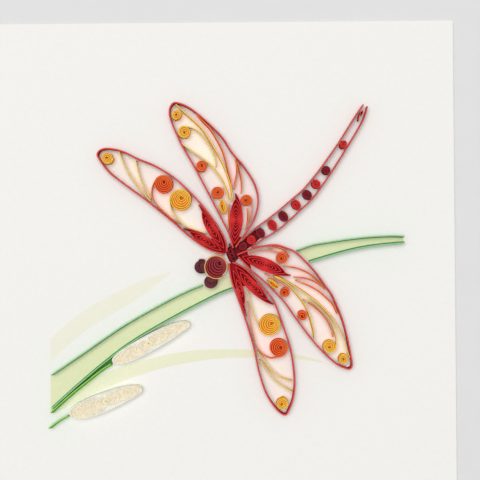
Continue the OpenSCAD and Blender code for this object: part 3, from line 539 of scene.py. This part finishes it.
class Piece:
    """Points, faces and paints of one piece, in millimetres."""

    def __init__(self, seed=0):
        self.points = []
        self.faces = []
        self.paints = []
        self.count = 0
        self.rng = np.random.default_rng(seed)

    def wander(self, line, size):
        """A slow random sway along a line."""
        run = run_of(line)
        sway = np.zeros(len(line))
        for waves in WANDER_WAVES:
            phase = self.rng.uniform(0, 2 * math.pi)
            sway += np.sin(2 * math.pi * run * waves / WANDER_LENGTH + phase) / (waves * 2)
        return size * sway

    def strip(self, line, thick, height=STRIP_H, base=0.0, foot=0.0, lean=0.0, accent=(0, 0)):
        """A paper strip on edge along a line. Its top is cut softly. Its foot may stand to the left of the
        line, its top may lean to the left, and a range of its steps may have another paint."""
        left = leftward(line)
        across = leftward(line, mitered=False)
        tall = height + self.wander(line, TOP_WANDER)
        sway = self.wander(line, SIDE_WANDER * min(1, thick / OUTLINE_T))
        base = FRONT_Z + np.broadcast_to(base, len(line))
        half = thick / 2
        r = EDGE_ROUND * thick
        mid = EDGE_MID * r
        section = [
            (half, 0, 0), (half, -r, 1), (half - mid, -mid, 1), (half - r, 0, 1),
            (r - half, 0, 1), (mid - half, -mid, 1), (-half, -r, 1), (-half, 0, 0)]
        rings = []
        for side, drop, top in section:
            flat = line + left * side + across * (foot + (sway + lean) * top)[:, None]
            rings.append(np.column_stack([flat, base + tall * top + drop]))
        start, stop = accent
        return self.sweep(
            np.stack(rings, 1), lambda i, j: ACCENT if start <= i < stop else STRIP_PAINTS[j])

    def web(self, line, steps, low, hand=1, lean=0.0, height=STRIP_H, base=0.0):
        """A sheet pressed between the turns of a coil, low under their tops, for finer inner turns. Its dark
        paint is painted shade.
        """
        if len(line) < steps + 2:
            return self
        across = leftward(line, mitered=False)
        flat = line + across * np.broadcast_to(lean * (1 - low / height), len(line))[:, None]
        tops = FRONT_Z + np.broadcast_to(base, len(line)) + height - low
        upper = np.column_stack([flat, tops])
        under = np.column_stack([flat, tops - WEB_T])
        inner, outer = slice(0, len(line) - steps), slice(steps, len(line))
        corners = [under[inner], upper[inner], upper[outer], under[outer]]
        self.sweep(np.stack(corners[::hand], 1), lambda i, j: DEEP_SHADE)
        return self.plug(upper[:steps][::hand] - [0, 0, CORE_LOW])

    def plug(self, rim):
        """A dark sheet that closes a coil's core: painted shade in its hole."""
        n, start = len(rim), self.count
        self.points += [rim, rim - [0, 0, WEB_T]]
        self.count += 2 * n
        self.faces.append(tuple(range(start, start + n)))
        self.faces.append(tuple(range(start + 2 * n - 1, start + n - 1, -1)))
        for i in range(n):
            a, b = start + i, start + (i + 1) % n
            self.faces.append((a, a + n, b + n, b))
        self.paints += [DEEP_SHADE] * (n + 2)
        return self

    def sweep(self, rings, paint):
        """Faces of a solid swept through rings of points, closed at its ends."""
        n, k = rings.shape[:2]
        start = self.count
        self.points.append(rings.reshape(-1, 3))
        self.count += n * k
        for i in range(n - 1):
            for j in range(k):
                a = start + i * k + j
                b = start + i * k + (j + 1) % k
                self.faces.append((a, b, b + k, a + k))
                self.paints.append(paint(i, j))
        self.faces.append(tuple(range(start + k - 1, start - 1, -1)))
        self.faces.append(tuple(range(start + (n - 1) * k, start + n * k)))
        self.paints += [WALL, WALL]
        return self

    def field(self, face, lift):
        """A thin layer on the card over a grid of places."""
        count, wide = face.shape[:2]
        layer = count * wide
        flat = face.reshape(-1, 2)
        for z in (FRONT_Z + lift, FRONT_Z):
            self.points.append(np.column_stack([flat, np.full(layer, z)]))
        for i in range(count - 1):
            for j in range(wide - 1):
                a = i * wide + j
                b = a + 1
                self.faces.append((a, b, b + wide, a + wide))
                self.faces.append((layer + a, layer + a + wide, layer + b + wide, layer + b))
        rim = [i * wide for i in range(count)]
        rim += [(count - 1) * wide + j for j in range(1, wide)]
        rim += [i * wide + wide - 1 for i in range(count - 2, -1, -1)]
        rim += list(range(wide - 2, 0, -1))
        for a, b in zip(rim, rim[1:] + rim[:1]):
            self.faces.append((a, b, layer + b, layer + a))
        self.paints = [WALL] * len(self.faces)
        return self

    def make(self, name, materials, slot, node=None):
        """The object of the piece. It rides on the card's body, and may stand for a node."""
        mesh = bpy.data.meshes.new(name)
        points = np.concatenate(self.points) * MM
        mesh.from_pydata(points.tolist(), [], self.faces)
        for material in materials:
            mesh.materials.append(material)
        mesh.polygons.foreach_set("material_index", self.paints)
        mesh.polygons.foreach_set("use_smooth", [True] * len(self.faces))
        mesh.set_sharp_from_angle(angle=math.radians(SHARP_ANGLE))
        obj = bpy.data.objects.new(name, mesh)
        bpy.context.scene.collection.objects.link(obj)
        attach(obj, "root")
        if node:
            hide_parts(node)
        return obj


# Materials
def linear(colour):
    """A colour written in 0 to 255 as light values."""
    parts = [c / 255 for c in colour]
    return [c / 12.92 if c <= 0.04045 else ((c + 0.055) / 1.055) ** 2.4 for c in parts]


def paper(name, colour, spread=MOTTLE_SPREAD, bump=TOOTH, fibre=FIBRES, glow=0.0):
    """Uncoated paper: a fibrous mottle in the colour, and a fine tooth."""
    material = bpy.data.materials.new(name)
    material.use_nodes = True
    nodes, links = material.node_tree.nodes, material.node_tree.links
    shader = nodes["Principled BSDF"]
    shader.inputs["Roughness"].default_value = ROUGHNESS
    shader.inputs["Specular IOR Level"].default_value = SPECULAR
    shader.inputs["Subsurface Weight"].default_value = glow
    shader.inputs["Subsurface Radius"].default_value = GLOW_RADIUS
    shader.inputs["Subsurface Scale"].default_value = GLOW_DEPTH * MM
    place = nodes.new("ShaderNodeTexCoord")
    mottle = nodes.new("ShaderNodeTexNoise")
    mottle.inputs["Scale"].default_value = fibre
    mottle.inputs["Detail"].default_value = MOTTLE_DETAIL
    mottle.inputs["Roughness"].default_value = MOTTLE_ROUGHNESS
    ramp = nodes.new("ShaderNodeValToRGB")
    tone = linear(colour)
    dark, light = ramp.color_ramp.elements
    dark.position, light.position = MOTTLE_RANGE
    dark.color = [c * (1 - spread) for c in tone] + [1]
    light.color = [min(1, c * (1 + spread)) for c in tone] + [1]
    tooth = nodes.new("ShaderNodeTexNoise")
    tooth.inputs["Scale"].default_value = fibre * TOOTH_FINER
    tooth.inputs["Detail"].default_value = TOOTH_DETAIL
    relief = nodes.new("ShaderNodeBump")
    relief.inputs["Strength"].default_value = bump
    relief.inputs["Distance"].default_value = TOOTH_DEPTH * MM
    links.new(place.outputs["Object"], mottle.inputs["Vector"])
    links.new(place.outputs["Object"], tooth.inputs["Vector"])
    links.new(mottle.outputs["Fac"], ramp.inputs["Fac"])
    links.new(ramp.outputs["Color"], shader.inputs["Base Color"])
    links.new(tooth.outputs["Fac"], relief.inputs["Height"])
    links.new(relief.outputs["Normal"], shader.inputs["Normal"])
    return material


def strip_papers(name, wall, edge, glow=GLOW):
    """Papers of a strip's wall and of its cut edge: a darker copy of the paper on the wall for painted shade,
    and a lighter copy on the cut edge for painted highlight, in part the paler cut of the paper.
    """
    return [paper(name, wall, glow=glow), paper(name + "_cut", edge, glow=glow)]


def coil_papers(name, wall, edge, deep, glow=GLOW):
    """Papers of a coil's strip, and a darker paint for what lies deep between its turns: painted shade,
    tinted as light bounced between the turns.
    """
    return strip_papers(name, wall, edge, glow) + [paper(name + "_deep", deep)]


# Colours of walls, cut edges and deep places, in 0 to 255. Walls are darker copies of the papers, painted
# shade, and cut edges lighter copies, painted highlight, in part the paler cut of the paper; deep colours are
# painted shade, tinted as bounced light
PAPERS = {
    "red": strip_papers("red_paper", (170, 24, 32), (224, 80, 72)),
    "petal": coil_papers("petal_red_paper", (190, 20, 28), (230, 56, 56), (126, 8, 18)),
    "dark": coil_papers("dark_red_paper", (124, 20, 34), (150, 40, 50), (66, 6, 20)),
    "head": coil_papers("head_red_paper", (148, 38, 46), (172, 74, 78), (112, 20, 32)),
    "plum": coil_papers("plum_paper", (100, 44, 56), (118, 60, 68), (58, 22, 32)),
    "orange": coil_papers("orange_paper", (240, 92, 32), (250, 120, 62), (184, 48, 14), BRIGHT_GLOW),
    "yellow": coil_papers("yellow_paper", (255, 178, 38), (255, 210, 90), (216, 120, 16), BRIGHT_GLOW),
    "orange_vein": strip_papers("orange_vein_paper", (240, 108, 46), (250, 138, 76), BRIGHT_GLOW),
    "yellow_vein": strip_papers("yellow_vein_paper", (255, 200, 80), (255, 214, 104), BRIGHT_GLOW),
    "reed": strip_papers("reed_green_paper", (104, 174, 108), (152, 206, 148)),
    "stem": strip_papers("stem_green_paper", (104, 188, 58), (150, 214, 104)),
    "cream": coil_papers("cream_paper", (254, 243, 221), (254, 248, 232), (231, 219, 191), 0)}
HEAD_RIM_PAPER = paper("rim_paper", (253, 192, 100), glow=GLOW)
# Warmer, darker cream of a cattail's round core: painted shade and bounced light in its tight turns
CATTAIL_CORE_SHADE_PAPER = paper("cream_core_shade_paper", (250, 236, 204))
# A slot name of the record for each paper
SLOTS = {
    "red": "red_paper", "petal": "petal_red_paper", "dark": "dark_red_paper", "head": "dark_red_paper",
    "plum": "plum_paper", "orange": "orange_paper", "yellow": "yellow_paper",
    "orange_vein": "orange_paper", "yellow_vein": "yellow_paper", "reed": "reed_green_paper",
    "stem": "stem_green_paper", "cream": "cream_paper"}


# Quilled pieces
def begun(node):
    """A new piece, whose random sway comes from the name of its node."""
    return Piece(sum(map(ord, node)))


def put(piece, node, tint, *accent):
    """Makes a piece of one paper, and perhaps an accent, in place of its node."""
    return piece.make(node + "_paper", PAPERS[tint] + list(accent), SLOTS[tint], node)


def quilled(node, tint, line, thick, **form):
    """One strip on edge."""
    return put(begun(node).strip(line, thick, **form), node, tint)


def leaning(node, tint, path, lean):
    """A strip that leans about its middle."""
    return quilled(node, tint, curve(at(path)), REED_T, foot=-lean / 2, lean=lean)


def veined(node, tint, lines):
    """Veins that stand upright at their ends and lean between them."""
    piece = begun(node)
    for line in lines:
        run = run_of(line)
        lean = VEIN_LEAN * np.minimum(1, np.minimum(run, run[-1] - run) / LEAN_FADE)
        piece.strip(line, VEIN_T, lean=lean)
    return put(piece, node, tint)


def rolled_up(node, tint, line, steps, low, lean, height=STRIP_H):
    """A coil with a sheet pressed between its turns, in a dark paint that is painted shade."""
    piece = begun(node)
    piece.strip(line, PAPER_T + FLUFF, height, lean=lean)
    piece.web(line, steps, low, lean=lean, height=height)
    return put(piece, node, tint)


def scrolled(node, tint, row, tail):
    """A round coil whose turns lean in, and the tail that runs on upright."""
    rolled = round_coil(*row)
    line = scroll(rolled, tail) if tail else rolled
    beyond = np.maximum(0, run_of(line) - run_of(rolled)[-1])
    *_, hand, _ = row
    lean = hand * COIL_LEAN * np.maximum(0, 1 - beyond / LEAN_FADE)
    piece = begun(node)
    piece.strip(line, PAPER_T + FLUFF, lean=lean, accent=(len(rolled), len(line)))
    piece.web(rolled, COIL_STEPS, COIL_LOW, hand, hand * COIL_LEAN)
    return put(piece, node, tint, PAPERS[tint + "_vein"][EDGE])


def cattail(node, row):
    """A squeezed coil whose round core has a warmer, darker paint: painted shade and bounced light."""
    line = pinched_coil(
        *row, pinch=CATTAIL_PINCH, gap=CATTAIL_GAP, draw=CATTAIL_DRAW, kept=CATTAIL_ROUND)
    piece = begun(node)
    piece.strip(
        line, PAPER_T + FLUFF, lean=PETAL_LEAN, accent=(0, round(CATTAIL_ROUND * len(line))))
    piece.web(line, PETAL_STEPS, CATTAIL_LOW, lean=PETAL_LEAN)
    return put(piece, node, "cream", CATTAIL_CORE_SHADE_PAPER)


def dished_head():
    """The head: its turns rise and straighten up outwards, and its last turn is a bright rim."""
    line = round_coil(HEAD_MID, HEAD_STEPS, HEAD_CORE, 1, HEAD_END, HEAD_GAP, PETAL_CORE)
    share = np.linspace(0, 1, len(line))
    rise = HEAD_DISH * share**2
    lean = HEAD_LEAN * (1 - share**3)
    piece = Piece(HEAD_SEED)
    piece.strip(
        line, PAPER_T + FLUFF, base=rise, lean=lean, accent=(len(line) - COIL_STEPS, len(line)))
    piece.web(line, COIL_STEPS, HEAD_LOW, lean=lean, base=rise)
    return put(piece, "head", "head", HEAD_RIM_PAPER)


# Wings
OUTLINES = {
    "right_forewing": RIGHT_FOREWING_EDGE, "left_forewing": LEFT_FOREWING_EDGE,
    "right_hindwing": RIGHT_HINDWING_EDGE, "left_hindwing": LEFT_HINDWING_EDGE}
VEINS = {
    "right_forewing_vein_strips": ("yellow_vein", RIGHT_FOREWING_VEINS, RIGHT_FOREWING_EDGE),
    "left_forewing_vein_strips": ("yellow_vein", LEFT_FOREWING_VEINS, LEFT_FOREWING_EDGE),
    "right_hindwing_yellow_strip": ("yellow_vein", RIGHT_HINDWING_YELLOW_VEINS, RIGHT_HINDWING_EDGE),
    "right_hindwing_orange_strips": ("orange_vein", RIGHT_HINDWING_ORANGE_VEINS, RIGHT_HINDWING_EDGE),
    "left_hindwing_yellow_strip": ("yellow_vein", LEFT_HINDWING_YELLOW_VEINS, LEFT_HINDWING_EDGE),
    "left_hindwing_orange_strips": ("orange_vein", LEFT_HINDWING_ORANGE_VEINS, LEFT_HINDWING_EDGE)}
for wing, edge_path in OUTLINES.items():
    quilled(wing + "_outline", "red", curve(at(edge_path)), OUTLINE_T)
for node, (tint, paths, edge_path) in VEINS.items():
    veined(node, tint, [fitted(path, edge_path) for path in paths])
for node, (tint, row, tail) in ROUND_COILS.items():
    scrolled(node, tint, row, tail)
for node, row in PETALS.items():
    petal = pinched_coil(*row, pinch=PETAL_PINCH, gap=PETAL_GAP)
    rolled_up(node, "petal", petal, PETAL_STEPS, PETAL_LOW, PETAL_LEAN)
for node, row in DROPS.items():
    drop = pinched_coil(*row, pinch=DROP_PINCH, gap=COIL_GAP, eye=CORE_R)
    rolled_up(node, "yellow", drop, PETAL_STEPS, COIL_LOW, COIL_LEAN)

# Body
thorax = pinched_coil(*THORAX, pinch=THORAX_PINCH, gap=PETAL_GAP)
rolled_up("thorax", "dark", thorax, PETAL_STEPS, PETAL_LOW, PETAL_LEAN)
for i in range(1, TAIL_COILS + 1):
    tint = "dark" if i % 2 else "petal"
    rolled_up(f"tail_coil_{i}", tint, tail_coil(i), COIL_STEPS, TAIL_LOW, COIL_LEAN)
quilled("tail_upper_wall", "red", tail_side(1), TAIL_WALL_T)
quilled("tail_lower_wall", "red", tail_side(-1), TAIL_WALL_T)
for node, (eye, core) in EYES.items():
    rolled_up(node, "plum", eye_coil(eye, core), COIL_STEPS, TAIL_LOW, PETAL_LEAN, EYE_H)
dished_head()

# Reed and cattails
leaning("reed_upper_left_edge", "reed", REED_UPPER_LEFT, REED_LEAN)
leaning("reed_lower_left_edge", "reed", REED_LOWER_LEFT, -REED_LEAN)
leaning("reed_upper_right_edge", "reed", REED_UPPER_RIGHT, REED_LEAN)
leaning("reed_lower_right_edge", "reed", REED_LOWER_RIGHT, -REED_LEAN)
leaning("upper_stem", "stem", UPPER_STEM, STEM_LEAN)
leaning("lower_stem", "stem", LOWER_STEM, STEM_LEAN)
for node, row in CATTAILS.items():
    cattail(node, row)


# Fields of print on the card, and fields of painted shade
def resampled(path):
    """Places at even distances along the curve through a path."""
    line = curve(path)
    run = run_of(line)
    share = np.linspace(0, run[-1], FIELD_STEPS)
    return np.column_stack([np.interp(share, run, line[:, axis]) for axis in (0, 1)])


def print_and_shade_field(name, print_and_shade_paper, lift, upper, lower):
    """A thin field of colour between two curves: the card's print, and painted shade."""
    upper, lower = resampled(upper), resampled(lower)
    shares = np.linspace(0, 1, FIELD_ROWS + 1)
    face = np.stack([upper * (1 - s) + lower * s for s in shares], 1)
    return Piece().field(face, lift).make(name, [print_and_shade_paper], "card_stock")


reed_ink = paper("reed_ink", (231, 232, 191), spread=0.03, bump=FIELD_TOOTH)
far_ink = paper("far_leaf_ink", (240, 238, 222), spread=0.015, bump=FIELD_TOOTH)
near_ink = paper("near_leaf_ink", (235, 235, 207), spread=0.015, bump=FIELD_TOOTH)
reed_left_upper = np.vstack([on_card(REED_FILL_LEFT[:1]), at(REED_UPPER_LEFT + REED_UNDER_HEAD)])
reed_left_lower = np.vstack([on_card(REED_FILL_LEFT[1:]), at(REED_LOWER_LEFT)])
print_and_shade_field("reed_fill_left", reed_ink, FIELD_T, reed_left_upper, reed_left_lower)
print_and_shade_field("reed_fill_right", reed_ink, FIELD_T, at(REED_UPPER_RIGHT), at(REED_LOWER_RIGHT))
print_and_shade_field("far_leaf", far_ink, LOW_FIELD_T, *map(on_card, LEAF_FAR))
print_and_shade_field("near_leaf", near_ink, LOW_FIELD_T, *map(on_card, LEAF_NEAR))
print_and_shade_field("near_leaf_tip", near_ink, LOW_FIELD_T, *map(on_card, LEAF_NEAR_TIP))

# Painted shade: fields of dark red, red and green for the shade and the coloured light that strips standing
# close together hold between them
dark_red_shade_paper = paper("dark_red_shade_paper", (132, 30, 40), spread=0.08, bump=FIELD_TOOTH)
red_root_shade_paper = paper("red_root_shade_paper", (186, 34, 42), spread=0.08, bump=FIELD_TOOTH)
green_stem_shade_paper = paper("green_stem_shade_paper", (104, 158, 78), spread=0.05, bump=FIELD_TOOTH)
print_and_shade_field("root_shade", dark_red_shade_paper, FIELD_T, *map(at, ROOT_SHADE))
for name, edges in WING_ROOT_SHADES.items():
    print_and_shade_field(name, red_root_shade_paper, LOW_FIELD_T, *map(at, edges))
print_and_shade_field("stem_foot_shade", green_stem_shade_paper, HIGH_FIELD_T, *map(at, STEM_FOOT_SHADE))

# Card
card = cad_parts["folded_card"]
card.data.materials.clear()
card.data.materials.append(paper("card_stock", (243, 242, 238), spread=0.012, bump=0.3, fibre=700.0))

# Floor
floor_mesh = bpy.data.meshes.new("floor")
corners = [(-1, -1), (1, -1), (1, 1), (-1, 1)]
floor_mesh.from_pydata([(x * FLOOR_HALF, y * FLOOR_HALF, 0) for x, y in corners], [], [(0, 1, 2, 3)])
floor_mesh.materials.append(paper("floor_grey", (226, 226, 226), spread=0.01, bump=0.05, fibre=60.0))
floor = bpy.data.objects.new("floor", floor_mesh)
bpy.context.scene.collection.objects.link(floor)

# Light
world = bpy.data.worlds.new("studio")
world.use_nodes = True
world.node_tree.nodes["Background"].inputs["Color"].default_value = (1, 1, 1, 1)
world.node_tree.nodes["Background"].inputs["Strength"].default_value = SKY
bpy.context.scene.world = world

key_data = bpy.data.lights.new("key", "AREA")
key_data.shape = "SQUARE"
key_data.size = KEY_SIZE
key_data.energy = KEY_POWER
key = bpy.data.objects.new("key", key_data)
key.location = KEY_PLACE
key.rotation_euler = (-key.location).to_track_quat("-Z", "Y").to_euler()
bpy.context.scene.collection.objects.link(key)

# Camera
camera_data = bpy.data.cameras.new("camera")
camera_data.sensor_width = SENSOR
camera_data.lens = SENSOR * CAMERA_RISE / (FRAME_STEPS * UNIT)
camera_data.clip_start = CAMERA_NEAR * MM
camera = bpy.data.objects.new("camera", camera_data)
camera.location = (MOTIF[0] * MM, MOTIF[1] * MM, (FRONT_Z + STRIP_H + CAMERA_RISE) * MM)
camera.rotation_euler = (0, 0, math.radians(MOTIF_TURN))
bpy.context.scene.collection.objects.link(camera)
bpy.context.scene.camera = camera
bpy.context.scene.view_settings.view_transform = "Standard"
